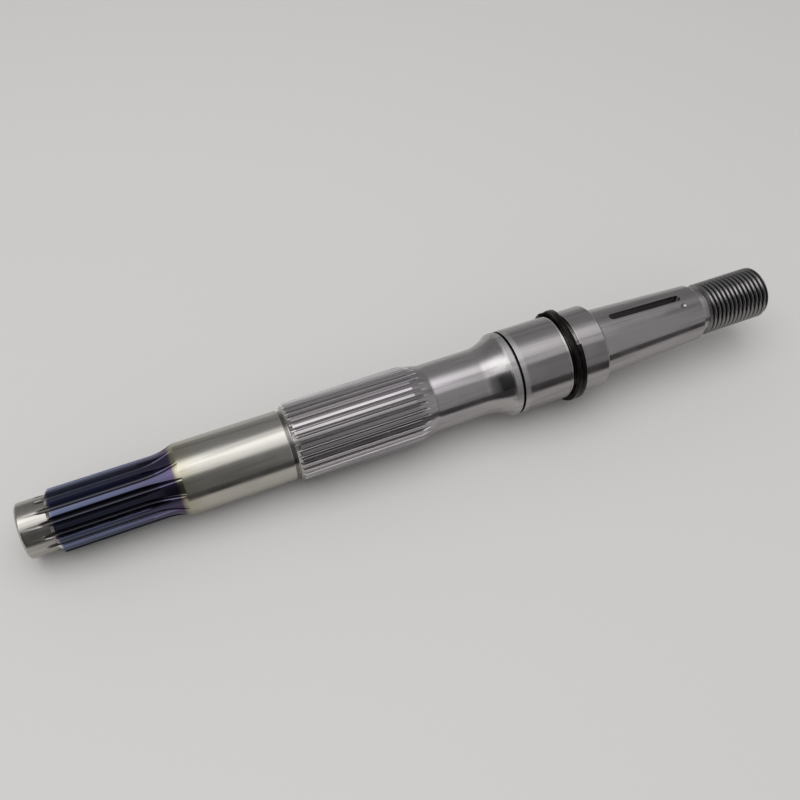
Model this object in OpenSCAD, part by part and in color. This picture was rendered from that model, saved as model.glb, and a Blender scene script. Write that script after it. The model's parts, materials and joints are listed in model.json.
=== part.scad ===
// Tapered drive shaft with two splines, a bearing seat with its spiral retaining ring,
// a keyed taper and a threaded end. It lies on a table on the ring and the fine spline.
// Lengths are in millimetres. Along the shaft, x runs from the nose face to the thread's end face.

/* [Nose] */
// Diameter of the plain nose
nose_d = 21; // [19:0.1:22]
// Length of the plain nose, up to the tooth ends of the coarse spline
nose_len = 10.5; // [8:0.5:20]
// Chamfer at the nose face
nose_chamfer = 0.8; // [0.3:0.1:1.5]

/* [Coarse spline] */
// Number of teeth of the coarse spline
coarse_teeth = 14; // [10:1:16]
// Diameter over the teeth of the coarse spline
coarse_d = 24; // [23:0.1:25]
// Length of the full teeth, between the chamfer and the flare
coarse_len = 37; // [25:0.5:60]
// Depth of a tooth space of the coarse spline
coarse_depth = 2.2; // [1.8:0.1:2.6]
// Width of a tooth space at its floor
coarse_floor_w = 1.9; // [1.2:0.1:2.2]
// Lean of a tooth's flank from the middle plane of its space, in degrees
coarse_flank = 21; // [10:1:30]
// Radius of the disc cutter that leaves the curved run-outs
cutter_r = 30; // [20:1:45]
// Distance before the flare at which a tooth space's full depth ends
coarse_stop = 6; // [3:0.5:10]
// Distance from the tooth ends to where the nicks in the nose begin to rise
nick_lead = 2.4; // [1.8:0.1:5]
// Turn of the coarse spline about the shaft, in degrees
coarse_turn = 9.5; // [0:0.5:36]

/* [Plain journal] */
// Diameter of the plain journal
journal_d = 28; // [27:0.1:29]
// Length of the plain journal
journal_len = 40.6; // [20:0.1:80]
// Radius of the hollow flare that climbs to the journal
flare_r = 22; // [10:0.5:40]

/* [Fine spline] */
// Number of teeth of the fine spline
fine_teeth = 36; // [24:1:40]
// Diameter over the teeth of the fine spline
fine_d = 31.6; // [31:0.1:33]
// Length of the full teeth of the fine spline
fine_len = 48; // [20:0.5:80]
// Depth of a tooth space of the fine spline
fine_depth = 1.1; // [0.8:0.05:1.2]
// Width of a tooth space at its floor
fine_floor_w = 0.8; // [0.5:0.05:1]
// Lean of a fine tooth's flank, in degrees
fine_flank = 20; // [10:1:28]
// Width of the undercut before the fine spline
undercut_w = 1.6; // [0.8:0.1:3]
// Depth of that undercut below the journal
undercut_depth = 0.6; // [0.3:0.1:1.2]
// Length of the chamfer that leads on to the fine teeth
fine_lead = 1.5; // [0.8:0.1:3]
// Length of the cone that ends the fine teeth at the neck
fine_exit = 8; // [3:0.5:10]

/* [Neck] */
// Diameter of the neck
neck_d = 27.8; // [26:0.1:28.5]
// Length of the straight neck
neck_len = 21.4; // [10:0.1:60]
// Radius of the hollow fillet that climbs from the neck to the bearing seat
neck_fillet_r = 18; // [8:0.5:30]

/* [Bearing seat] */
// Diameter of the bearing seat
seat_d = 35; // [33.5:0.1:36]
// Length of the land before the thin groove
land_len = 2.8; // [1.5:0.1:6]
// Width of the thin groove
slit_w = 0.9; // [0.5:0.1:1.5]
// Depth of the thin groove
slit_depth = 0.8; // [0.4:0.1:1.5]
// Length of the bearing seat, from the thin groove to the lip of the ring groove
seat_len = 20.6; // [12:0.1:60]
// Length of the bevelled lip at the ring groove
lip_len = 1.3; // [0.6:0.1:2]
// Height of that bevel
lip_drop = 0.4; // [0.2:0.1:0.8]
// Length of the collar between the ring groove and the taper
collar_len = 11.6; // [4:0.1:20]
// Chamfer at the collar's outer edge
collar_chamfer = 0.6; // [0.3:0.1:1.2]

/* [Retaining ring] */
// Thickness of one turn of the ring
turn_t = 2.2; // [1:0.1:3]
// Height of the ring above the bearing seat
ring_stand = 1.8; // [1:0.1:3]
// Depth of the ring groove below the seat
groove_depth = 1.2; // [0.8:0.1:2]
// Room between the ring and the bearing's side of its groove
front_play = 0.6; // [0.2:0.1:1.5]
// Room between the ring and the collar's side of its groove
back_play = 0.1; // [0.05:0.05:0.5]
// Room between the ring and the floor of its groove
floor_play = 0.05; // [0.02:0.01:0.2]
// How far the second turn stands inside the first at its rims
turn_step = 0.1; // [0.05:0.05:0.3]
// Part of the circle that the ring's second turn covers, in degrees
turn_sweep = 270; // [200:5:340]
// Where the second turn's free end shows, in degrees from the top toward the front
turn_end = 31; // [0:1:90]

/* [Taper] */
// Diameter of the taper at the collar
taper_d = 29; // [28:0.1:31]
// Length of the taper
taper_len = 50; // [40:0.5:80]
// Length over which the taper loses one millimetre of diameter
taper_ratio = 10; // [9:0.5:20]
// Fillet between the collar's face and the taper
taper_fillet = 1; // [0.4:0.1:1.4]

/* [Keyway] */
// Width of the keyway
key_w = 3.2; // [3:0.1:6]
// Depth of the keyway, square to the taper
key_depth = 2.4; // [1.5:0.1:3]
// Length of the keyway over its round ends
key_len = 34.5; // [15:0.5:36]
// Distance from the collar's face to the keyway
key_start = 7.5; // [4:0.5:12]

/* [Drilled spot] */
// Diameter of the drilled spot beside the keyway's small end
spot_d = 2.6; // [1.6:0.1:3.2]
// Depth of the spot, which is a plain drill point
spot_depth = 0.9; // [0.5:0.1:1.5]
// Distance from the collar's face to the middle of the spot
spot_start = 41.4; // [30:0.1:46]
// Angle of the spot from the middle of the keyway toward the front, in degrees
spot_turn = 20; // [18:1:60]

/* [Threaded end] */
// Diameter over the thread
thread_d = 22.2; // [20:0.1:23]
// Length of the threaded end
thread_len = 30.1; // [15:0.1:60]
// Chamfer at the threaded end's face
thread_chamfer = 1.3; // [0.6:0.1:2]
// Width of the relief between the taper and the thread
relief_w = 4; // [2:0.1:8]
// Depth of the relief below the thread
relief_depth = 1.2; // [0.8:0.1:1.6]

/* [Hidden] */
$fn = 96;
eps = 0.01;
// The first turn closes on a line this many degrees beside its lowest point
seam_a = 1.36;

// Radii
nose_r = nose_d / 2;
coarse_r = coarse_d / 2;
journal_r = journal_d / 2;
fine_r = fine_d / 2;
neck_r = neck_d / 2;
seat_r = seat_d / 2;
ring_r = seat_r + ring_stand;
thread_r = thread_d / 2;
taper_r = taper_d / 2;
taper_end_r = taper_r - taper_len / taper_ratio / 2;
relief_r = thread_r - relief_depth;
groove_r = seat_r - groove_depth;

// Run of a hollow arc of radius r that starts level and climbs by h
function hollow_run(r, h) = sqrt(2 * r * h - h * h);

// Stations along the shaft, each from the one before it
tooth_bevel = coarse_r - nose_r;
coarse_x = nose_len + tooth_bevel;
flare_x = coarse_x + coarse_len;
journal_x = flare_x + hollow_run(flare_r, journal_r - coarse_r);
undercut_x = journal_x + journal_len;
fine_lead_x = undercut_x + undercut_w;
fine_x = fine_lead_x + fine_lead;
fine_end_x = fine_x + fine_len;
neck_x = fine_end_x + fine_exit;
fillet_x = neck_x + neck_len;
land_x = fillet_x + hollow_run(neck_fillet_r, seat_r - neck_r);
slit_x = land_x + land_len;
seat_x = slit_x + slit_w;
lip_x = seat_x + seat_len;
groove_x = lip_x + lip_len;
groove_w = front_play + 2 * turn_t + back_play;
collar_x = groove_x + groove_w;
taper_x = collar_x + collar_len;
relief_x = taper_x + taper_len;
thread_x = relief_x + relief_w;
total_len = thread_x + thread_len;

// Floor of the coarse tooth spaces, how far up a space is cut, and where its full depth ends
coarse_floor_r = coarse_r - coarse_depth;
coarse_reach = journal_r - coarse_floor_r + 1;
coarse_stop_x = flare_x - coarse_stop;
nick_x = nose_len + nick_lead;

// Arc of the disc cutter that is kept for a run-out, in degrees
run_out_arc = 40;

// Foot of the fine spline's lead-in, between the journal and the floor of the tooth spaces
fine_floor_r = fine_r - fine_depth;
fine_foot_r = (journal_r + fine_floor_r) / 2;

// Half the width of a fine tooth space where it breaks through the tips
fine_mouth = fine_floor_w / 2 + fine_depth * tan(fine_flank);

// The ring lies near the collar's side of its groove
ring_x = collar_x - back_play - 2 * turn_t;

// Resting on the table: a tooth space is lowest, so two tooth corners of the fine spline touch
fine_rest_r = sqrt(fine_r * fine_r - fine_mouth * fine_mouth);
rest_tilt = atan((ring_r - fine_rest_r) / (ring_x - fine_x));
rest_lift = ring_r * cos(rest_tilt) - ring_x * sin(rest_tilt);
nose_end_r = nose_r - nose_chamfer;
thread_end_r = thread_r - thread_chamfer;
mid_x = (total_len * cos(rest_tilt) + (thread_end_r - nose_end_r) * sin(rest_tilt)) / 2;

// Lays a piece, drawn along x about the shaft's axis, on the table
module lay() {
    translate([-mid_x, 0, rest_lift]) rotate([0, -rest_tilt, 0]) children();
}

// Turns a half section, drawn as (radius, place along the shaft), about the x axis
module turned() {
    rotate([0, 90, 0]) rotate_extrude() children();
}

// Half section of a length whose radius goes from r0 to r1
module run_of(x0, x1, r0, r1) {
    polygon([[0, x0], [r0, x0], [r1, x1], [0, x1]]);
}

// Half section of a hollow climb from r0 at x0 to r1, by an arc of radius r that starts level
module hollow_climb(x0, r0, r1, r) {
    difference() {
        run_of(x0, x0 + hollow_run(r, r1 - r0), r1, r1);
        translate([r0 + r, x0]) circle(r = r);
    }
}

// Half section of the shaft as it leaves the lathe
module blank() {
    run_of(0, nose_chamfer, nose_end_r, nose_r);
    run_of(nose_chamfer, nose_len, nose_r, nose_r);
    run_of(nose_len, coarse_x, nose_r, coarse_r);
    run_of(coarse_x, flare_x, coarse_r, coarse_r);
    hollow_climb(flare_x, coarse_r, journal_r, flare_r);
    run_of(journal_x, undercut_x, journal_r, journal_r);
    run_of(undercut_x, fine_lead_x, journal_r - undercut_depth, journal_r - undercut_depth);
    run_of(fine_lead_x, fine_x, fine_foot_r, fine_r);
    run_of(fine_x, fine_end_x, fine_r, fine_r);
    run_of(fine_end_x, neck_x, fine_r, neck_r);
    run_of(neck_x, fillet_x, neck_r, neck_r);
    hollow_climb(fillet_x, neck_r, seat_r, neck_fillet_r);
    run_of(land_x, slit_x, seat_r, seat_r);
    run_of(slit_x, seat_x, seat_r - slit_depth, seat_r - slit_depth);
    run_of(seat_x, lip_x, seat_r, seat_r);
    run_of(lip_x, groove_x, seat_r, seat_r - lip_drop);
    run_of(groove_x, collar_x, groove_r, groove_r);
    run_of(collar_x, taper_x - collar_chamfer, seat_r, seat_r);
    run_of(taper_x - collar_chamfer, taper_x, seat_r, seat_r - collar_chamfer);
    run_of(taper_x, relief_x, taper_r, taper_end_r);
    collar_fillet();
    run_of(relief_x, thread_x, relief_r, relief_r);
    run_of(thread_x, total_len - thread_chamfer, thread_r, thread_r);
    run_of(total_len - thread_chamfer, total_len, thread_r, thread_end_r);
}

// Half section of the small fillet in the corner between the collar's face and the taper
module collar_fillet() {
    difference() {
        translate([taper_r - taper_fillet / 2, taper_x]) square([taper_fillet * 3 / 2, taper_fillet]);
        translate([taper_r + taper_fillet, taper_x + taper_fillet]) circle(r = taper_fillet);
    }
}

// Section of a tooth space: floor at height 0, flanks that lean out up to a height
module space_section(floor_w, flank, height) {
    half = floor_w / 2;
    mouth = half + height * tan(flank);
    polygon([[-half, 0], [half, 0], [mouth, height], [-mouth, height]]);
}

// Straight tooth space from x0 to x1, its floor at radius r on the top of the shaft
module straight_space(x0, x1, r, floor_w, flank, height) {
    translate([x0, 0, r]) rotate([90, 0, 90]) linear_extrude(x1 - x0) space_section(floor_w, flank, height);
}

// Curved run-out that the disc cutter leaves beyond x, toward the thread (side 1) or the nose (side -1)
module run_out(x, side, r, floor_w, flank, height) {
    a0 = side > 0 ? -90 : -90 - run_out_arc;
    translate([x, 0, r + cutter_r]) rotate([90, 0, 0]) rotate_extrude(start = a0, angle = run_out_arc)
        translate([cutter_r, 0]) rotate(90) space_section(floor_w, flank, height);
}

// Repeats a tooth space of the coarse spline, drawn on the top of the shaft, round the shaft
module round_coarse() {
    for (i = [0 : coarse_teeth - 1]) rotate([coarse_turn + i * 360 / coarse_teeth, 0, 0]) children();
}

// Full-depth part of the coarse tooth spaces
module coarse_spaces() {
    round_coarse()
        straight_space(nick_x, coarse_stop_x, coarse_floor_r, coarse_floor_w, coarse_flank, coarse_reach);
}

// Curved ends of the coarse tooth spaces: nicks in the nose, and pointed scallops in the flare
module coarse_run_outs(x, side) {
    round_coarse() run_out(x, side, coarse_floor_r, coarse_floor_w, coarse_flank, coarse_reach);
}

// Tooth spaces of the fine spline, open at both ends, with one space lowest
module fine_spaces() {
    for (i = [0 : fine_teeth - 1])
        rotate([180 + i * 360 / fine_teeth, 0, 0])
            straight_space(fine_lead_x - undercut_w / 2, neck_x + eps, fine_floor_r, fine_floor_w, fine_flank,
                fine_depth * 2);
}

// Keyway on the top of the taper, with round ends and a floor that follows the taper
module keyway() {
    half_angle = atan(1 / taper_ratio / 2);
    straight = key_len - key_w;
    translate([taper_x, 0, taper_r]) rotate([0, half_angle, 0]) translate([key_start, 0, -key_depth]) {
        translate([key_w / 2, -key_w / 2, 0]) cube([straight, key_w, key_depth * 2]);
        for (x = [key_w / 2, key_w / 2 + straight])
            translate([x, 0, 0]) cylinder(d = key_w, h = key_depth * 2);
    }
}

// Drill point sunk square to the taper
module drilled_spot() {
    half_angle = atan(1 / taper_ratio / 2);
    rotate([spot_turn, 0, 0]) translate([taper_x, 0, taper_r]) rotate([0, half_angle, 0])
        translate([spot_start, 0, -spot_depth]) cylinder(d1 = 0, d2 = 2 * spot_d, h = 2 * spot_depth);
}

module shaft() {
    color("silver") lay() difference() {
        turned() blank();
        coarse_spaces();
        coarse_run_outs(nick_x, -1);
        coarse_run_outs(coarse_stop_x, 1);
        fine_spaces();
        keyway();
        drilled_spot();
    }
}

// One flat turn of the ring at x, from angle a0 over a sweep, with its rims brought in by a step
module ring_turn(x, thick, a0, sweep, step) {
    inner = groove_r + floor_play + step;
    translate([x, 0, 0]) rotate([0, 90, 0]) rotate_extrude(start = a0, angle = sweep)
        translate([inner, 0]) square([ring_r - step - inner, thick]);
}

// Spiral ring of two flat turns; the second leaves a short part of the circle free
module retaining_ring() {
    color("dimgray") lay() {
        rotate([seam_a, 0, 0]) ring_turn(ring_x, turn_t, 0, 360, 0);
        ring_turn(ring_x + turn_t - eps, turn_t + eps, 180 + turn_end, turn_sweep, turn_step);
    }
}

shaft();
retaining_ring();
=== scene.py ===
import json
import math
import bpy
from mathutils import Matrix, Vector


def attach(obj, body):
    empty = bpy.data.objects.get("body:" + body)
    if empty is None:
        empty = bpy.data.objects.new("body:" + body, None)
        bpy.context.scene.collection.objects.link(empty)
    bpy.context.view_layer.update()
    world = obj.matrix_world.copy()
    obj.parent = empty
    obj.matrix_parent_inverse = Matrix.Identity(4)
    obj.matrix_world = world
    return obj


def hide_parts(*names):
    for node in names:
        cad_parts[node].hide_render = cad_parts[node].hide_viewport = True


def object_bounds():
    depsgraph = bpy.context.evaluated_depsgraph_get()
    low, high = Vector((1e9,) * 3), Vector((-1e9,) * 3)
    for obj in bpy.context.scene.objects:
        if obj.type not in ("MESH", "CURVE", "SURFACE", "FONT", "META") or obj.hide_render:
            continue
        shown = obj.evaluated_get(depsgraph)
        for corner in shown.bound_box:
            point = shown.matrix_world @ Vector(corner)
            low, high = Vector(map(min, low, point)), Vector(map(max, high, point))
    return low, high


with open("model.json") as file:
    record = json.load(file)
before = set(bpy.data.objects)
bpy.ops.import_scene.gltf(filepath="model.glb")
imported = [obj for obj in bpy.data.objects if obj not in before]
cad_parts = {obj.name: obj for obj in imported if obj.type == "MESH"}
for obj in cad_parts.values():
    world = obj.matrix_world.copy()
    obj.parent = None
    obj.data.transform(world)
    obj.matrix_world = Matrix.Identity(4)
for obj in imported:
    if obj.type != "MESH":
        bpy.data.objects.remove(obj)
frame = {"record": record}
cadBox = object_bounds()
mounts = {mount["name"]: mount for mount in frame["record"]["mounts"]}


# Small helpers

def mm(value):
    return value / 1000


def toLinear(hexColour):
    parts = [int(hexColour[i:i + 2], 16) / 255 for i in (1, 3, 5)]
    return [p / 12.92 if p <= 0.04045 else ((p + 0.055) / 1.055) ** 2.4 for p in parts] + [1.0]


def grey(value):
    return (value, value, value, 1.0)


def pickOnly(*objects):
    if bpy.context.object and bpy.context.object.mode != "OBJECT":
        bpy.ops.object.mode_set(mode="OBJECT")
    bpy.ops.object.select_all(action="DESELECT")
    for item in objects:
        item.select_set(True)
    bpy.context.view_layer.objects.active = objects[0]


def pickPoints(piece, test):
    # in edit mode, selects the points that pass the test
    bpy.ops.mesh.select_mode(type="VERT")
    bpy.ops.mesh.select_all(action="DESELECT")
    bpy.ops.object.mode_set(mode="OBJECT")
    for vertex in piece.data.vertices:
        vertex.select = test(vertex.co)
    bpy.ops.object.mode_set(mode="EDIT")


def pickFaces(piece, test):
    # in edit mode, selects the faces whose middle passes the test
    bpy.ops.mesh.select_all(action="DESELECT")
    bpy.ops.object.mode_set(mode="OBJECT")
    for face in piece.data.polygons:
        face.select = test(face.center)
    bpy.ops.object.mode_set(mode="EDIT")
    bpy.ops.mesh.select_mode(type="FACE")


def settle():
    # keeps the active object's place in its mesh
    bpy.ops.object.transform_apply(location=True, rotation=True, scale=True)


def applyModifier(piece, kind, **settings):
    pickOnly(piece)
    modifier = piece.modifiers.new(kind.lower(), kind)
    for name, value in settings.items():
        setattr(modifier, name, value)
    bpy.ops.object.modifier_apply(modifier=modifier.name)


def cutAway(piece, cutter):
    applyModifier(piece, "BOOLEAN", object=cutter, operation="DIFFERENCE", solver="EXACT")
    bpy.data.objects.remove(cutter, do_unlink=True)


def copiesRoundAxis(piece, count, turn):
    # copies of a cutter round the shaft, joined to one mesh
    copies = []
    for i in range(count):
        copy = piece.copy()
        copy.data = piece.data.copy()
        bpy.context.collection.objects.link(copy)
        copy.rotation_euler[0] = math.radians(turn + i * 360 / count)
        copies.append(copy)
    bpy.data.objects.remove(piece, do_unlink=True)
    pickOnly(*copies)
    bpy.ops.object.join()
    settle()
    return bpy.context.object


def addNode(tree, kind, settings=None, links=None):
    # a setting goes on the node, or on the input that has its name or number
    node = tree.nodes.new(kind)
    for name, value in (settings or {}).items():
        if isinstance(name, str) and hasattr(node, name):
            setattr(node, name, value)
        else:
            node.inputs[name].default_value = value
    for name, source in (links or {}).items():
        tree.links.new(source, node.inputs[name])
    return node


def newMaterial(name):
    material = bpy.data.materials.new(name)
    material.use_nodes = True
    material.node_tree.nodes.clear()
    return material, material.node_tree


def setStops(ramp, stops):
    # stops as (place from 0 to 1, colour), placed twice because a stop moves its neighbours
    elements = ramp.color_ramp.elements
    while len(elements) < len(stops):
        elements.new(0.5)
    for element, (place, colour) in zip(elements, stops):
        element.position = place
    for element, (place, colour) in zip(elements, stops):
        element.position = place
        element.color = colour


# The shaft's own line: it lies a little tilted, on its ring and its fine spline

shaftAxis = Vector(mounts["threaded_end"]["axis"])
restTilt = math.atan2(shaftAxis.z, shaftAxis.x)


# The shaft, in millimetres along its axis from the nose face

shaft = {
    "segments": 192, "smoothAngle": 25, "mergeDistance": 1e-7,
    "edge": 0.2,  # broken edges, as a file leaves them
    "noseR": 10.5, "noseLen": 10.5, "noseChamfer": 0.8,
    "coarseR": 12.0, "coarseLen": 37.0, "coarseTeeth": 14, "coarseTurn": 9.5,
    "coarseDepth": 2.2, "coarseFloor": 1.9, "coarseFlank": 21, "coarseEdge": 0.2, "coarseOver": 0.6,
    "coarseRoot": [(0, 0.4), (0.07, 1.0), (0.22, 1.5), (0.46, 1.9), (0.85, 2.4)],
    "coarseStop": 6.0, "nickLead": 2.4, "cutterR": 30.0, "cutterArc": 40, "cutterSteps": 24,
    "journalR": 14.0, "journalLen": 40.6, "flareR": 22.0,
    "undercutLen": 1.6, "undercutR": 13.4,
    "fineR": 15.8, "fineLead": 1.5, "fineFootR": 14.35, "fineLen": 48.0, "fineExit": 8.0,
    "fineTeeth": 36, "fineTurn": 180,
    "fineDepth": 1.1, "fineFloor": 0.8, "fineFlank": 20, "fineEdge": 0.12, "fineOver": 0.3,
    "fineRoot": [(0, 0.4), (0.1, 0.75), (0.3, 1.0)],
    "neckR": 13.9, "neckLen": 21.4, "neckFillet": 18.0,
    "seatR": 17.5, "landLen": 2.8, "slitLen": 0.9, "slitDepth": 0.8, "seatLen": 20.6,
    "lipLen": 1.3, "lipNick": 0.25, "lipR": 17.42, "grooveR": 16.3, "grooveLen": 5.1,
    "collarLen": 11.6, "collarChamfer": 0.6,
    "taperR": 14.5, "taperLen": 50.0, "taperEndR": 12.0, "taperFillet": 1.0,
    "keyWidth": 3.2, "keyDepth": 2.4, "keyLen": 34.5, "keyStart": 7.5, "keySides": 48,
    "spotD": 2.6, "spotDepth": 0.9, "spotStart": 41.4, "spotTurn": 20, "spotSides": 32,
    "reliefLen": 4.0, "reliefR": 9.9,
    "threadR": 11.1, "threadLen": 30.1, "threadChamfer": 1.3, "threadLead": 0.6,
    "threadPitch": 2.1, "threadDepth": 1.18, "threadFlank": 30, "threadRoot": 0.26,
    "threadCrest": 0.25, "threadOver": 0.1, "threadSteps": 96,
}


def hollowRun(radius, climb):
    return math.sqrt(2 * radius * climb - climb * climb)


def shaftStations(s):
    at = {"coarse": s["noseLen"] + s["coarseR"] - s["noseR"]}
    at["flare"] = at["coarse"] + s["coarseLen"]
    at["journal"] = at["flare"] + hollowRun(s["flareR"], s["journalR"] - s["coarseR"])
    at["undercut"] = at["journal"] + s["journalLen"]
    at["fineLead"] = at["undercut"] + s["undercutLen"]
    at["fine"] = at["fineLead"] + s["fineLead"]
    at["fineEnd"] = at["fine"] + s["fineLen"]
    at["neck"] = at["fineEnd"] + s["fineExit"]
    at["fillet"] = at["neck"] + s["neckLen"]
    at["land"] = at["fillet"] + hollowRun(s["neckFillet"], s["seatR"] - s["neckR"])
    at["slit"] = at["land"] + s["landLen"]
    at["seat"] = at["slit"] + s["slitLen"]
    at["lip"] = at["seat"] + s["seatLen"]
    at["groove"] = at["lip"] + s["lipLen"]
    at["collar"] = at["groove"] + s["grooveLen"]
    at["taper"] = at["collar"] + s["collarLen"]
    at["relief"] = at["taper"] + s["taperLen"]
    at["thread"] = at["relief"] + s["reliefLen"]
    at["end"] = at["thread"] + s["threadLen"]
    return at


station = shaftStations(shaft)
seatMiddle = station["seat"] + shaft["seatLen"] / 2
layMatrix = (Matrix.Translation(Vector(mounts["bearing_seat"]["pos_m"]))
             @ Matrix.Rotation(-restTilt, 4, "Y")
             @ Matrix.Translation(Vector((-mm(seatMiddle), 0, 0))))


def layDown(piece):
    # from the lathe's line to the table
    pickOnly(piece)
    piece.matrix_world = layMatrix
    settle()


def hollowPoints(x, r0, r1, radius, steps=10):
    # points of a hollow arc that starts level at (x, r0) and climbs to r1
    sweep = math.acos(1 - (r1 - r0) / radius)
    angles = [sweep * i / steps for i in range(1, steps)]
    return [(x + radius * math.sin(a), r0 + radius * (1 - math.cos(a)), 0) for a in angles]


def lathedOutline(s, at):
    # corners as (x, radius, broken edge)
    e = s["edge"]
    fillet = s["taperFillet"]
    slitR = s["seatR"] - s["slitDepth"]
    nickX, nickR = at["lip"] + s["lipNick"], s["seatR"] - s["lipNick"]
    corners = [(0, s["noseR"] - s["noseChamfer"], e), (s["noseChamfer"], s["noseR"], e),
               (s["noseLen"], s["noseR"], 0), (at["coarse"], s["coarseR"], e),
               (at["flare"] - 2 * e, s["coarseR"], 0), (at["flare"], s["coarseR"], 0)]
    corners += hollowPoints(at["flare"], s["coarseR"], s["journalR"], s["flareR"])
    corners += [(at["journal"], s["journalR"], e), (at["undercut"], s["journalR"], e),
                (at["undercut"], s["undercutR"], 0), (at["fineLead"], s["undercutR"], 0),
                (at["fineLead"], s["fineFootR"], e), (at["fine"], s["fineR"], e),
                (at["fineEnd"], s["fineR"], e), (at["neck"], s["neckR"], 2 * e),
                (at["fillet"] - 2 * e, s["neckR"], 0), (at["fillet"], s["neckR"], 0)]
    corners += hollowPoints(at["fillet"], s["neckR"], s["seatR"], s["neckFillet"])
    corners += [(at["land"], s["seatR"], e), (at["slit"], s["seatR"], e), (at["slit"], slitR, 0),
                (at["seat"], slitR, 0), (at["seat"], s["seatR"], e),
                (at["lip"], s["seatR"], e / 2), (at["lip"], nickR, 0),
                (nickX, nickR, 0), (nickX, s["lipR"], e / 2), (at["groove"], s["lipR"], e),
                (at["groove"], s["grooveR"], 0), (at["collar"], s["grooveR"], 0),
                (at["collar"], s["seatR"], e), (at["taper"] - s["collarChamfer"], s["seatR"], e / 2),
                (at["taper"], s["seatR"] - s["collarChamfer"], e / 2)]
    corners += [(at["taper"] + fillet * (1 - math.cos(a)), s["taperR"] + fillet * (1 - math.sin(a)), 0)
                for a in (0.0, 0.26, 0.52, 0.79, 1.05, 1.31)]
    fall = (s["taperR"] - s["taperEndR"]) / s["taperLen"]
    corners += [(at["taper"] + run, s["taperR"] - run * fall, 0) for run in (fillet, fillet + 2 * e)]
    corners += [(at["relief"], s["taperEndR"], e), (at["relief"], s["reliefR"], 0),
                (at["thread"], s["reliefR"], 0),
                (at["thread"] + (s["threadR"] - s["reliefR"]) * s["threadLead"], s["threadR"], 0),
                (at["end"] - s["threadChamfer"], s["threadR"], 0),
                (at["end"], s["threadR"] - s["threadChamfer"], e)]
    return breakEdges(corners)


def breakEdges(corners):
    # a broken edge is a small round, with a point past it that keeps a long face's shading flat
    points = []
    for i, (x, r, cut) in enumerate(corners):
        here = Vector((x, r))
        before = Vector(corners[i - 1][:2]) if i else Vector((0, 0))
        after = Vector(corners[i + 1][:2]) if i + 1 < len(corners) else Vector((x, 0))
        if cut:
            back, ahead = before - here, after - here
            first = here + back.normalized() * cut
            last = here + ahead.normalized() * cut
            if back.length > 5 * cut:
                points.append(here + back.normalized() * cut * 2)
            points += [first, (first + last) / 4 + here / 2, last]
            if ahead.length > 5 * cut:
                points.append(here + ahead.normalized() * cut * 2)
        else:
            points.append(here)
    return points


def lathe(name, points, segments):
    # a disc is drawn out along the axis, and scaled at each point of the outline
    bpy.ops.object.select_all(action="DESELECT")
    x, r = points[0]
    bpy.ops.mesh.primitive_circle_add(vertices=segments, radius=mm(r), fill_type="NGON",
                                      location=(mm(x), 0, 0), rotation=(0, math.pi / 2, 0))
    piece = bpy.context.object
    piece.name = name
    settle()
    bpy.ops.object.mode_set(mode="EDIT")
    bpy.ops.mesh.select_all(action="SELECT")
    for nextX, nextR in points[1:]:
        bpy.ops.mesh.extrude_region_move(TRANSFORM_OT_translate={"value": (mm(nextX - x), 0, 0)})
        if nextR != r:
            bpy.ops.transform.resize(value=(1, nextR / r, nextR / r), center_override=(mm(nextX), 0, 0))
        x, r = nextX, nextR
    bpy.ops.mesh.select_all(action="SELECT")
    bpy.ops.mesh.normals_make_consistent(inside=False)
    bpy.ops.object.mode_set(mode="OBJECT")
    return piece


def spaceSection(s, spline, x):
    # one tooth space as (height, width): its rounded root, its leaning flanks and the broken edges
    depth, edge, over = s[spline + "Depth"], s[spline + "Edge"], s[spline + "Over"]
    floorR = s[spline + "R"] - depth
    lean = math.tan(math.radians(s[spline + "Flank"]))
    flankTop = s[spline + "Floor"] + 2 * (depth - edge) * lean
    steps = s[spline + "Root"] + [(depth - edge, flankTop), (depth + over, flankTop + 2 * (edge + over))]
    rootWidth = steps[0][1]
    height, width = steps[1]
    bpy.ops.object.select_all(action="DESELECT")
    bpy.ops.mesh.primitive_plane_add(size=1, location=(mm(x), 0, mm(floorR + height / 2)),
                                     rotation=(0, math.pi / 2, 0))
    section = bpy.context.object
    section.name = spline + "Cutter"
    section.scale = (mm(height), mm(rootWidth), 1)
    settle()
    bpy.ops.object.mode_set(mode="EDIT")
    pickPoints(section, lambda co: co.z > mm(floorR + height / 2))
    bpy.ops.transform.resize(value=(1, width / rootWidth, 1), center_override=(mm(x), 0, 0))
    bpy.ops.mesh.select_mode(type="EDGE")
    for nextHeight, nextWidth in steps[2:]:
        bpy.ops.mesh.extrude_edges_move(TRANSFORM_OT_translate={"value": (0, 0, mm(nextHeight - height))})
        bpy.ops.transform.resize(value=(1, nextWidth / width, 1), center_override=(mm(x), 0, 0))
        height, width = nextHeight, nextWidth
    bpy.ops.mesh.select_mode(type="FACE")
    bpy.ops.mesh.select_all(action="SELECT")
    return section


def closeCutter(s, cutter):
    bpy.ops.mesh.select_all(action="SELECT")
    bpy.ops.mesh.remove_doubles(threshold=s["mergeDistance"])
    bpy.ops.mesh.normals_make_consistent(inside=False)
    bpy.ops.object.mode_set(mode="OBJECT")
    return cutter


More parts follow.
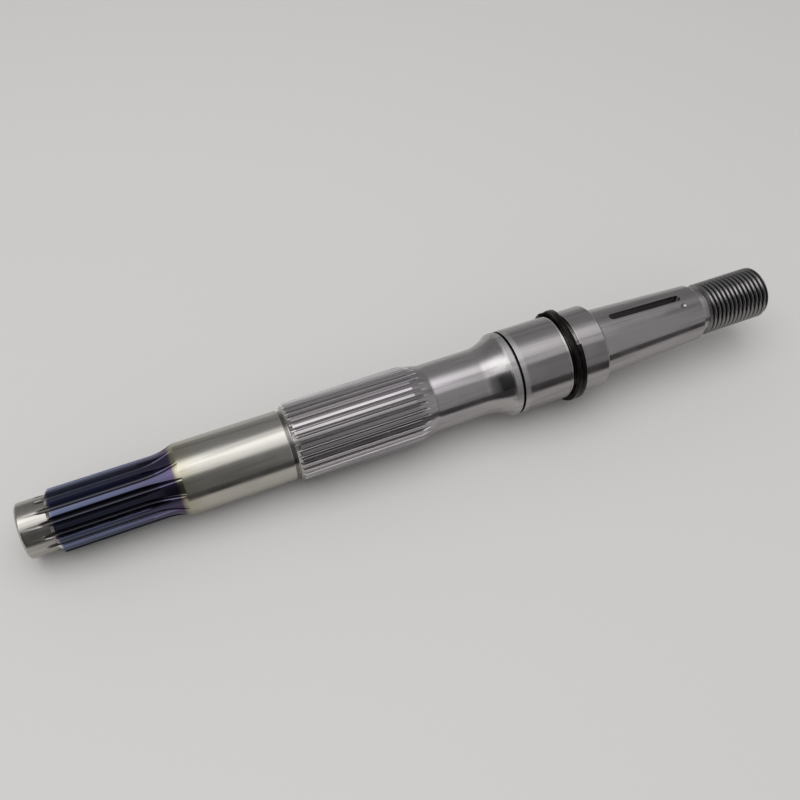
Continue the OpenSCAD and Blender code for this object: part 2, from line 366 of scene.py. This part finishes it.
def coarseCutter(s, at):
    # the disc cutter leaves a curved run-out at each end of a space
    x0, x1 = s["noseLen"] + s["nickLead"], at["flare"] - s["coarseStop"]
    discZ = s["coarseR"] - s["coarseDepth"] + s["cutterR"]
    cutter = spaceSection(s, "coarse", x0)
    bpy.ops.mesh.extrude_region_move(TRANSFORM_OT_translate={"value": (mm(x1 - x0), 0, 0)})
    for x, way in ((x1, 1), (x0, -1)):
        pickFaces(cutter, lambda middle: abs(middle.x - mm(x)) < 1e-6)
        bpy.ops.mesh.spin(steps=s["cutterSteps"], angle=way * math.radians(s["cutterArc"]),
                          axis=(0, 1, 0), center=(mm(x), 0, mm(discZ)))
    return copiesRoundAxis(closeCutter(s, cutter), s["coarseTeeth"], s["coarseTurn"])


def fineCutter(s, at):
    # runs from the undercut out through the cone
    x0, x1 = at["fineLead"] - s["undercutLen"] / 2, at["neck"] + 0.1
    cutter = spaceSection(s, "fine", x0)
    bpy.ops.mesh.extrude_region_move(TRANSFORM_OT_translate={"value": (mm(x1 - x0), 0, 0)})
    return copiesRoundAxis(closeCutter(s, cutter), s["fineTeeth"], s["fineTurn"])


def onTaper(s, at, turn, run):
    # a place on the taper, turned from the top, run along it from the collar
    lean = math.atan((s["taperR"] - s["taperEndR"]) / s["taperLen"])
    return (Matrix.Rotation(math.radians(turn), 4, "X")
            @ Matrix.Translation((mm(at["taper"]), 0, mm(s["taperR"])))
            @ Matrix.Rotation(lean, 4, "Y") @ Matrix.Translation((mm(run), 0, 0)))


def keyCutter(s, at):
    # an end mill's round bar, one half of it moved along the key
    bpy.ops.object.select_all(action="DESELECT")
    bpy.ops.mesh.primitive_cylinder_add(vertices=s["keySides"], radius=mm(s["keyWidth"] / 2),
                                        depth=mm(s["keyDepth"] * 2),
                                        rotation=(0, 0, math.pi / s["keySides"]))
    cutter = bpy.context.object
    cutter.name = "keyCutter"
    settle()
    bpy.ops.object.mode_set(mode="EDIT")
    pickPoints(cutter, lambda co: co.x > 0)
    bpy.ops.transform.translate(value=(mm(s["keyLen"] - s["keyWidth"]), 0, 0))
    bpy.ops.object.mode_set(mode="OBJECT")
    cutter.matrix_world = onTaper(s, at, 0, s["keyStart"] + s["keyWidth"] / 2)
    settle()
    return cutter


def spotCutter(s, at):
    # a drill's point
    bpy.ops.object.select_all(action="DESELECT")
    bpy.ops.mesh.primitive_cone_add(vertices=s["spotSides"], radius1=0, radius2=mm(s["spotD"]),
                                    depth=mm(s["spotDepth"] * 2))
    cutter = bpy.context.object
    cutter.name = "spotCutter"
    cutter.matrix_world = onTaper(s, at, s["spotTurn"], s["spotStart"])
    settle()
    return cutter


def threadCutter(s, at):
    # the groove between two turns, with broken crests, screwed from the relief to past the end face
    root, crest, over = s["threadRoot"], s["threadCrest"], s["threadOver"]
    rise = s["threadDepth"] - crest
    flankTop = root + 2 * rise * math.tan(math.radians(s["threadFlank"]))
    floorR = s["threadR"] - s["threadDepth"]
    x = at["thread"] - s["threadPitch"] * 1.5
    bpy.ops.object.select_all(action="DESELECT")
    bpy.ops.mesh.primitive_plane_add(size=1, location=(mm(x), 0, mm(floorR + rise / 2)),
                                     rotation=(math.pi / 2, 0, 0))
    cutter = bpy.context.object
    cutter.name = "threadCutter"
    cutter.scale = (mm(root), mm(rise), 1)
    settle()
    bpy.ops.object.mode_set(mode="EDIT")
    pickPoints(cutter, lambda co: co.z > mm(floorR + rise / 2))
    bpy.ops.transform.resize(value=(flankTop / root, 1, 1), center_override=(mm(x), 0, 0))
    bpy.ops.mesh.select_mode(type="EDGE")
    bpy.ops.mesh.extrude_edges_move(TRANSFORM_OT_translate={"value": (0, 0, mm(crest + over))})
    spread = 1 + 2 * (crest + over) / flankTop
    bpy.ops.transform.resize(value=(spread, 1, 1), center_override=(mm(x), 0, 0))
    bpy.ops.mesh.select_mode(type="FACE")
    bpy.ops.mesh.select_all(action="SELECT")
    bpy.ops.mesh.dissolve_faces()
    bpy.ops.mesh.delete(type="ONLY_FACE")
    bpy.ops.object.mode_set(mode="OBJECT")
    turns = math.ceil(s["threadLen"] / s["threadPitch"]) + 3
    applyModifier(cutter, "SCREW", axis="X", angle=2 * math.pi, screw_offset=mm(s["threadPitch"]),
                  iterations=turns, steps=s["threadSteps"], render_steps=s["threadSteps"])
    bpy.ops.object.mode_set(mode="EDIT")
    bpy.ops.mesh.select_mode(type="EDGE")
    bpy.ops.mesh.select_all(action="DESELECT")
    bpy.ops.mesh.select_non_manifold()
    bpy.ops.mesh.fill_holes(sides=0)
    return closeCutter(s, cutter)


def makeShaft(s, at):
    piece = lathe("shaft_turned", lathedOutline(s, at), s["segments"])
    print("shaft: turned,", len(piece.data.polygons), "faces")
    cutAway(piece, coarseCutter(s, at))
    print("shaft: coarse spline cut,", len(piece.data.polygons), "faces")
    cutAway(piece, fineCutter(s, at))
    print("shaft: fine spline cut,", len(piece.data.polygons), "faces")
    cutAway(piece, keyCutter(s, at))
    cutAway(piece, spotCutter(s, at))
    print("shaft: keyway and spot cut,", len(piece.data.polygons), "faces")
    cutAway(piece, threadCutter(s, at))
    print("shaft: thread cut,", len(piece.data.polygons), "faces")
    layDown(piece)
    bpy.ops.object.mode_set(mode="EDIT")
    bpy.ops.mesh.select_all(action="SELECT")
    bpy.ops.mesh.remove_doubles(threshold=s["mergeDistance"])  # the cuts leave points that coincide
    bpy.ops.object.mode_set(mode="OBJECT")
    bpy.ops.object.shade_smooth_by_angle(angle=math.radians(s["smoothAngle"]))
    print("shaft: points merged,", len(piece.data.polygons), "faces")
    return piece


shaftPiece = makeShaft(shaft, station)


def shaftSpace(tree):
    # the place on the shaft in millimetres, x along it from its nose
    nose = layMatrix @ Vector((0, 0, 0))
    spot = addNode(tree, "ShaderNodeTexCoord")
    along = addNode(tree, "ShaderNodeMapping",
                    {"vector_type": "TEXTURE", "Location": nose, "Rotation": (0, -restTilt, 0),
                     "Scale": (mm(1), mm(1), mm(1))}, {"Vector": spot.outputs["Object"]})
    split = addNode(tree, "ShaderNodeSeparateXYZ", None, {0: along.outputs[0]})
    return along, split


# Ground alloy steel: bright grey with fine lines round it, oil streaks, painted shade in the roots and
# hollows, painted highlights and a blue coarse spline

turnedSteel = {
    "zones": [  # millimetres from the nose, colour of the metal there with a few painted highlights and shades, roughness
        (0.0, "#C4C1BB", 0.20), (10.8, "#BEBBB6", 0.20), (12.2, "#5C6078", 0.20),
        (15.0, "#555A70", 0.20), (34.0, "#53576D", 0.20), (50.0, "#535169", 0.20),
        (54.4, "#57516D", 0.20), (55.8, "#5E5366", 0.18), (56.7, "#A39C89", 0.17),
        (58.0, "#BEBAA8", 0.17), (65.0, "#C9C6BE", 0.17), (98.0, "#C9C6C0", 0.17),
        (100.6, "#C6C3C1", 0.18), (102.2, "#BDB9BB", 0.20), (150.0, "#BBB7BA", 0.20),
        (157.6, "#BEBABD", 0.15), (189.5, "#BEBBBB", 0.15), (190.0, "#CCCACB", 0.42),
        (196.0, "#CCCACB", 0.42), (196.3, "#B5B1B3", 0.15), (214.3, "#B5B1B3", 0.15),
        # painted highlight: the lip left of the ring is a lighter grey
        (214.6, "#DDDBD7", 0.16), (220.4, "#A19E9A", 0.25), (221.0, "#B5B1B3", 0.15),
        # painted highlight: a light line at the collar's chamfer
        (231.6, "#B5B1B3", 0.15), (231.9, "#DAD8D4", 0.25), (232.6, "#B9B5B5", 0.16),
        # painted highlight: the relief is a lighter grey; painted shade: the thread is a darker grey
        (282.0, "#B2AEB1", 0.15), (283.0, "#C6C3BE", 0.20), (286.5, "#9A9899", 0.24),
        (316.4, "#9A9899", 0.24)],
    "hollowShade": [  # millimetres from the nose, radius below which painted shade darkens the metal, and how much
        (3.0, 0.0, 0.86), (3.2, 10.46, 0.86), (11.5, 10.46, 0.86),
        (12.3, 10.7, 0.7), (46.0, 10.7, 0.7), (50.0, 11.6, 0.5), (54.0, 0.0, 0.5),
        (98.6, 0.0, 0.65), (98.75, 13.9, 0.65), (100.3, 13.9, 0.65), (100.45, 0.0, 0.65),
        (101.7, 0.0, 0.86), (102.0, 14.84, 0.86), (154.0, 14.84, 0.86), (154.3, 0.0, 0.86),
        (215.6, 0.0, 1.0), (215.7, 17.3, 1.0), (220.7, 18.0, 1.0), (221.0, 18.0, 1.0), (221.1, 0.0, 1.0),
        (238.6, 0.0, 0.55), (239.0, 14.05, 0.55), (275.4, 12.23, 0.55), (275.8, 0.0, 0.55),
        (286.0, 0.0, 0.86), (287.0, 10.7, 0.86), (315.8, 10.7, 0.86), (316.3, 0.0, 0.86)],
    # painted shade in the hollows: its dark brown, the scale that packs its radius into a colour, and its
    # fade
    "hollowShadeColour": "#33302D", "hollowShadeScale": 20.0, "hollowShadeFade": (-0.05, 0.3),
    "slitShade": 1.1, "slitLead": 0.1,  # the slit's painted shade, a dark line a little wider than the slit, and how far it starts before the slit
    "streakColour": "#8F8490", "streakLen": 45.0, "streakWidth": 2.2, "streakMost": 0.4,
    "streakRange": (0.5, 0.75), "bareEnd": 0.3,
    "smudgeSize": 9.0, "smudgeRange": (0.35, 0.75), "smudgeDull": (-0.03, 0.07),
    "lineSpacing": 0.45,  # the real feed marks are about 0.1 mm apart, drawn coarser to show
    "lineDepth": 0.003, "lineRange": (0.3, 0.7), "lineDull": (-0.02, 0.03),
}


def makeTurnedSteel(m, at):
    material, tree = newMaterial("turned_alloy_steel")
    along, split = shaftSpace(tree)
    share = addNode(tree, "ShaderNodeMath", {"operation": "DIVIDE", 1: at["end"]}, {0: split.outputs["X"]})
    metal = addNode(tree, "ShaderNodeValToRGB", None, {0: share.outputs[0]})
    setStops(metal, [(x / at["end"], toLinear(colour)) for x, colour, rough in m["zones"]])
    polish = addNode(tree, "ShaderNodeValToRGB", None, {0: share.outputs[0]})
    setStops(polish, [(x / at["end"], grey(rough)) for x, colour, rough in m["zones"]])

    # painted shade in the roots and other hollows, by the distance from the axis, and in the slit
    across = addNode(tree, "ShaderNodeCombineXYZ", None, {"Y": split.outputs["Y"], "Z": split.outputs["Z"]})
    radius = addNode(tree, "ShaderNodeVectorMath", {"operation": "LENGTH"}, {0: across.outputs[0]})
    hollowShadeTop = addNode(tree, "ShaderNodeValToRGB", None, {0: share.outputs[0]})
    setStops(hollowShadeTop, [(x / at["end"], (top / m["hollowShadeScale"], amount, 0, 1)) for x, top, amount in m["hollowShade"]])
    hollowShadeSplit = addNode(tree, "ShaderNodeSeparateColor", None, {0: hollowShadeTop.outputs["Color"]})
    hollowShadeLine = addNode(tree, "ShaderNodeMath", {"operation": "MULTIPLY", 1: m["hollowShadeScale"]},
                      {0: hollowShadeSplit.outputs["Red"]})
    under = addNode(tree, "ShaderNodeMath", {"operation": "SUBTRACT"},
                    {0: hollowShadeLine.outputs[0], 1: radius.outputs["Value"]})
    hollowShade = addNode(tree, "ShaderNodeMapRange", {"From Min": m["hollowShadeFade"][0], "From Max": m["hollowShadeFade"][1]},
                  {0: under.outputs[0], "To Max": hollowShadeSplit.outputs["Green"]})
    # painted shade along the slit
    slit = addNode(tree, "ShaderNodeMath",
                   {"operation": "COMPARE", 1: at["slit"] + m["slitShade"] / 2 - m["slitLead"],
                    2: m["slitShade"] / 2}, {0: split.outputs["X"]})
    paintedShade = addNode(tree, "ShaderNodeMath", {"operation": "MAXIMUM"},
                    {0: hollowShade.outputs[0], 1: slit.outputs[0]})

    # streaks along the shaft but not on its end faces, and smudges
    streakMap = addNode(tree, "ShaderNodeMapping",
                        {"Scale": (1 / m["streakLen"], 1 / m["streakWidth"], 1 / m["streakWidth"])},
                        {"Vector": along.outputs[0]})
    streaks = addNode(tree, "ShaderNodeTexNoise", {"Scale": 1.0, "Detail": 3.0},
                      {"Vector": streakMap.outputs[0]})
    sides = addNode(tree, "ShaderNodeMath",
                    {"operation": "COMPARE", 1: at["end"] / 2, 2: at["end"] / 2 - m["bareEnd"]},
                    {0: split.outputs["X"]})
    most = addNode(tree, "ShaderNodeMath", {"operation": "MULTIPLY", 1: m["streakMost"]},
                   {0: sides.outputs[0]})
    streak = addNode(tree, "ShaderNodeMapRange",
                     {"From Min": m["streakRange"][0], "From Max": m["streakRange"][1]},
                     {0: streaks.outputs[0], "To Max": most.outputs[0]})
    smudges = addNode(tree, "ShaderNodeTexNoise", {"Scale": 1 / m["smudgeSize"], "Detail": 4.0},
                      {"Vector": along.outputs[0]})
    dulled = addNode(tree, "ShaderNodeMapRange",
                     {"From Min": m["smudgeRange"][0], "From Max": m["smudgeRange"][1],
                      "To Min": m["smudgeDull"][0], "To Max": m["smudgeDull"][1]}, {0: smudges.outputs[0]})
    streaked = addNode(tree, "ShaderNodeMix",
                       {"data_type": "RGBA", "blend_type": "MULTIPLY", 7: toLinear(m["streakColour"])},
                       {0: streak.outputs[0], 6: metal.outputs["Color"]})
    # the metal darkened by the painted shade
    shadedMetal = addNode(tree, "ShaderNodeMix", {"data_type": "RGBA", 7: toLinear(m["hollowShadeColour"])},
                    {0: paintedShade.outputs[0], 6: streaked.outputs[2]})

    # fine lines round the shaft, and in rings on its end faces
    feed = addNode(tree, "ShaderNodeMath", {"operation": "ADD"},
                   {0: split.outputs["X"], 1: radius.outputs["Value"]})
    lines = addNode(tree, "ShaderNodeTexNoise",
                    {"noise_dimensions": "1D", "Scale": 1 / m["lineSpacing"], "Detail": 2.0},
                    {"W": feed.outputs[0]})
    relief = addNode(tree, "ShaderNodeBump", {"Strength": 1.0, "Distance": mm(m["lineDepth"])},
                     {"Height": lines.outputs[0]})
    lineDull = addNode(tree, "ShaderNodeMapRange",
                       {"From Min": m["lineRange"][0], "From Max": m["lineRange"][1],
                        "To Min": m["lineDull"][0], "To Max": m["lineDull"][1]}, {0: lines.outputs[0]})
    rough = addNode(tree, "ShaderNodeMath", {"operation": "ADD"},
                    {0: polish.outputs["Color"], 1: dulled.outputs[0]})
    rougher = addNode(tree, "ShaderNodeMath", {"operation": "ADD"},
                      {0: rough.outputs[0], 1: lineDull.outputs[0]})
    shader = addNode(tree, "ShaderNodeBsdfPrincipled", {"Metallic": 1.0},
                     {"Base Color": shadedMetal.outputs[2], "Roughness": rougher.outputs[0],
                      "Normal": relief.outputs[0]})
    addNode(tree, "ShaderNodeOutputMaterial", None, {"Surface": shader.outputs[0]})
    return material


shaftPiece.data.materials.clear()
shaftPiece.data.materials.append(makeTurnedSteel(turnedSteel, station))
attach(shaftPiece, "root")
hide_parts("shaft")
print("shaft: dressed in steel")


# The ring: a flat spring strip wound in two turns, that steps over from one to the other at the top

ring = {
    "turnLen": 2.1, "turnStep": 2.2, "innerR": 16.42, "outerR": 19.28, "edge": 0.3, "edgeSteps": 3,
    "frontPlay": 0.6, "endTurn": 31, "firstSweep": 270, "crossSweep": 70, "lastSweep": 288, "stepTurn": 3,
    "smoothAngle": 40,
}


def sweepStrip(r, turn, shift=0.0):
    # draws the end of the strip on round the axis, a small turn at a time
    steps = max(1, round(turn / r["stepTurn"]))
    for i in range(steps):
        bpy.ops.mesh.spin(steps=1, angle=-math.radians(turn / steps), center=(0, 0, 0), axis=(1, 0, 0))
        if shift:
            a, b = i / steps, (i + 1) / steps
            ease = (3 * b * b - 2 * b ** 3) - (3 * a * a - 2 * a ** 3)
            bpy.ops.transform.translate(value=(mm(shift * ease), 0, 0))


def makeRing(r, at):
    farX = at["groove"] + r["frontPlay"] + 1.5 * r["turnStep"]
    height = r["outerR"] - r["innerR"]
    bpy.ops.object.select_all(action="DESELECT")
    bpy.ops.mesh.primitive_plane_add(size=1, location=(mm(farX), 0, mm(r["innerR"] + height / 2)),
                                     rotation=(math.pi / 2, 0, 0))
    piece = bpy.context.object
    piece.name = "spiral_ring"
    piece.scale = (mm(r["turnLen"]), mm(height), 1)
    settle()
    piece.rotation_euler[0] = math.radians(r["endTurn"])
    settle()
    bpy.ops.object.mode_set(mode="EDIT")
    bpy.ops.mesh.select_all(action="SELECT")
    bpy.ops.mesh.bevel(offset=mm(r["edge"]), segments=r["edgeSteps"], affect="VERTICES")
    bpy.ops.mesh.select_mode(type="FACE")
    bpy.ops.mesh.select_all(action="SELECT")
    sweepStrip(r, r["firstSweep"])
    sweepStrip(r, r["crossSweep"], -r["turnStep"])
    sweepStrip(r, r["lastSweep"])
    bpy.ops.mesh.select_all(action="SELECT")
    bpy.ops.mesh.normals_make_consistent(inside=False)
    bpy.ops.object.mode_set(mode="OBJECT")
    layDown(piece)
    bpy.ops.object.shade_smooth_by_angle(angle=math.radians(r["smoothAngle"]))
    print("ring: two turns,", len(piece.data.polygons), "faces")
    return piece


# Spring steel, black oxide: near black with a soft gloss, a little browner where the oil has dried

blackOxide = {
    "colour": "#242323", "dryColour": "#35322D", "patchSize": 3.0, "dryRange": (0.45, 0.7),
    "rough": (0.25, 0.40), "lineSpacing": 0.3, "lineDepth": 0.004,
}


def makeBlackOxide(m):
    material, tree = newMaterial("black_oxide_spring_steel")
    along, split = shaftSpace(tree)
    patches = addNode(tree, "ShaderNodeTexNoise", {"Scale": 1 / m["patchSize"], "Detail": 4.0},
                      {"Vector": along.outputs[0]})
    dry = addNode(tree, "ShaderNodeMapRange", {"From Min": m["dryRange"][0], "From Max": m["dryRange"][1]},
                  {0: patches.outputs[0]})
    colour = addNode(tree, "ShaderNodeMix",
                     {"data_type": "RGBA", 6: toLinear(m["colour"]), 7: toLinear(m["dryColour"])},
                     {0: dry.outputs[0]})
    rough = addNode(tree, "ShaderNodeMapRange", {"To Min": m["rough"][0], "To Max": m["rough"][1]},
                    {0: patches.outputs[0]})
    lines = addNode(tree, "ShaderNodeTexNoise", {"noise_dimensions": "1D", "Scale": 1 / m["lineSpacing"]},
                    {"W": split.outputs["X"]})
    relief = addNode(tree, "ShaderNodeBump", {"Strength": 1.0, "Distance": mm(m["lineDepth"])},
                     {"Height": lines.outputs[0]})
    shader = addNode(tree, "ShaderNodeBsdfPrincipled", {"Metallic": 1.0},
                     {"Base Color": colour.outputs[2], "Roughness": rough.outputs[0],
                      "Normal": relief.outputs[0]})
    addNode(tree, "ShaderNodeOutputMaterial", None, {"Surface": shader.outputs[0]})
    return material


ringPiece = makeRing(ring, station)
ringPiece.data.materials.append(makeBlackOxide(blackOxide))
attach(ringPiece, "root")
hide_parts("retaining_ring")


# Table, light and camera

table = {
    # the table's colour, and its colour as the metal mirrors it, with painted shade
    "size": 8.0, "colour": "#CAC9C7", "roughness": 0.55, "mirrored": "#BDBBB8", "mirroredShade": "#242223",
    "patchEdge": (-0.056, -0.074), "patchSide": (0.9, 0.5),
}


def makeTable(t):
    bpy.ops.object.select_all(action="DESELECT")
    bpy.ops.mesh.primitive_plane_add(size=t["size"], location=(0, 0, cadBox[0][2]))
    piece = bpy.context.object
    piece.name = "table"
    material, tree = newMaterial("pale_table")
    # painted shade in the metal's reflection of the table: a little dimmer all over, and dark past a line
    # in front of the shaft
    spot = addNode(tree, "ShaderNodeTexCoord")
    split = addNode(tree, "ShaderNodeSeparateXYZ", None, {0: spot.outputs["Object"]})
    ahead = addNode(tree, "ShaderNodeMapRange",
                    {"From Min": t["patchEdge"][0], "From Max": t["patchEdge"][1]}, {0: split.outputs["Y"]})
    patch = addNode(tree, "ShaderNodeMapRange",
                    {"From Min": t["patchSide"][0], "From Max": t["patchSide"][1]},
                    {0: split.outputs["X"], "To Max": ahead.outputs[0]})
    mirrored = addNode(tree, "ShaderNodeMix",
                       {"data_type": "RGBA", 6: toLinear(t["mirrored"]), 7: toLinear(t["mirroredShade"])},
                       {0: patch.outputs[0]})
    rays = addNode(tree, "ShaderNodeLightPath")
    colour = addNode(tree, "ShaderNodeMix", {"data_type": "RGBA", 6: toLinear(t["colour"])},
                     {0: rays.outputs["Is Glossy Ray"], 7: mirrored.outputs[2]})
    shader = addNode(tree, "ShaderNodeBsdfPrincipled", {"Roughness": t["roughness"]},
                     {"Base Color": colour.outputs[2]})
    addNode(tree, "ShaderNodeOutputMaterial", None, {"Surface": shader.outputs[0]})
    piece.data.materials.append(material)


light = {  # two softboxes side by side over the shaft, the left one brighter
    "height": 0.9, "across": 1.04,
    "boxes": [("softbox_left", -0.75, 0.10, 1.3), ("softbox_right", 0.10, 0.60, 0.75)],
}


def makeLight(l):
    # each box as its name, its two ends along the shaft in metres, and its brightness
    for name, x0, x1, bright in l["boxes"]:
        bpy.ops.object.light_add(type="AREA", location=((x0 + x1) / 2, 0, l["height"]))
        lamp = bpy.context.object
        lamp.name = name
        lamp.data.shape = "RECTANGLE"
        lamp.data.size = x1 - x0
        lamp.data.size_y = l["across"]
        lamp.data.energy = bright * math.pi * (x1 - x0) * l["across"]
        lamp.visible_glossy = False  # the metal mirrors the room instead


room = {  # what the metal mirrors, as light from the lamps, the front wall and the back wall
    "round": [  # degrees round the shaft from straight up toward the front, share of each light
        (-105, (0, 0, 1.0)), (-88, (0, 0, 1.0)), (-77, (0, 0, 0.84)), (-47, (0, 0, 0.8)),
        (-35, (0.03, 0, 0.8)), (-27, (0.12, 0, 0.75)), (-17, (0.60, 0, 0.4)), (-8, (1.0, 0, 0.1)),
        (4, (0.97, 0, 0)), (14, (0.74, 0.1, 0)), (25, (0.60, 0.3, 0)), (30, (0.44, 0.6, 0)),
        (36, (0.08, 0.9, 0)), (45, (0.02, 1.0, 0)), (91, (0, 1.0, 0)), (105, (0, 0.2, 0))],
    "along": [  # from the nose's side (-1) to the thread's side (1), brightness of each light
        (-1.0, (1.8, 0.015, 0.27)), (-0.3, (1.8, 0.015, 0.27)), (-0.16, (1.75, 0.08, 0.27)),
        (0.0, (1.65, 0.12, 0.28)), (0.08, (1.5, 0.15, 0.32)), (0.18, (1.8, 0.23, 0.31)),
        (0.29, (1.02, 0.36, 0.35)), (0.36, (1.02, 0.225, 0.35)), (0.42, (0.9, 0.205, 0.33)),
        (0.46, (0.78, 0.21, 0.32)), (0.52, (0.44, 0.37, 0.3)), (0.60, (0.32, 0.37, 0.3)),
        (1.0, (0.32, 0.37, 0.3))],
    "brightest": 1.8, "fill": 0.65,
}


def makeWorld(r):
    world = bpy.data.worlds.new("room")
    bpy.context.scene.world = world
    world.use_nodes = True
    tree = world.node_tree
    tree.nodes.clear()
    where = addNode(tree, "ShaderNodeTexCoord")
    split = addNode(tree, "ShaderNodeSeparateXYZ", None, {0: where.outputs["Generated"]})
    angle = addNode(tree, "ShaderNodeMath", {"operation": "ARCTAN2"},
                    {0: split.outputs["Y"], 1: split.outputs["Z"]})
    turn = addNode(tree, "ShaderNodeMapRange", {"From Min": math.pi, "From Max": -math.pi},
                   {0: angle.outputs[0]})
    aroundShaft = addNode(tree, "ShaderNodeValToRGB", None, {0: turn.outputs[0]})
    setStops(aroundShaft, [(0.5 + degrees / 360, (*shares, 1)) for degrees, shares in r["round"]])
    side = addNode(tree, "ShaderNodeMapRange", {"From Min": -1.0, "From Max": 1.0}, {0: split.outputs["X"]})
    alongShaft = addNode(tree, "ShaderNodeValToRGB", None, {0: side.outputs[0]})
    setStops(alongShaft, [(0.5 + x / 2, (*[v / r["brightest"] for v in levels], 1))
                          for x, levels in r["along"]])
    mirrored = addNode(tree, "ShaderNodeVectorMath", {"operation": "DOT_PRODUCT"},
                       {0: aroundShaft.outputs["Color"], 1: alongShaft.outputs["Color"]})
    rays = addNode(tree, "ShaderNodeLightPath")
    seen = addNode(tree, "ShaderNodeMix", {2: r["fill"] / r["brightest"]},
                   {0: rays.outputs["Is Glossy Ray"], 3: mirrored.outputs["Value"]})
    background = addNode(tree, "ShaderNodeBackground", {"Strength": r["brightest"]},
                         {"Color": seen.outputs[0]})
    addNode(tree, "ShaderNodeOutputWorld", None, {"Surface": background.outputs[0]})


view = {
    "place": (-104.3, -201.2, 293.4), "aim": (-10.8, 2.2, 19.0), "roll": 2.57,
    "lens": 40.0, "sensor": 36.0, "clipStart": 0.01,
}


def makeCamera(v):
    place, aim = Vector(v["place"]) / 1000, Vector(v["aim"]) / 1000
    bpy.ops.object.camera_add(location=place)
    camera = bpy.context.object
    camera.name = "camera"
    look = (aim - place).to_track_quat("-Z", "Y").to_matrix().to_4x4()
    roll = Matrix.Rotation(math.radians(v["roll"]), 4, "Z")
    camera.matrix_world = Matrix.Translation(place) @ look @ roll
    camera.data.lens = v["lens"]
    camera.data.sensor_width = v["sensor"]
    camera.data.clip_start = v["clipStart"]
    bpy.context.scene.camera = camera


makeTable(table)
makeLight(light)
makeWorld(room)
makeCamera(view)
bpy.context.scene.view_settings.view_transform = "Standard"
print("table, light and camera set")
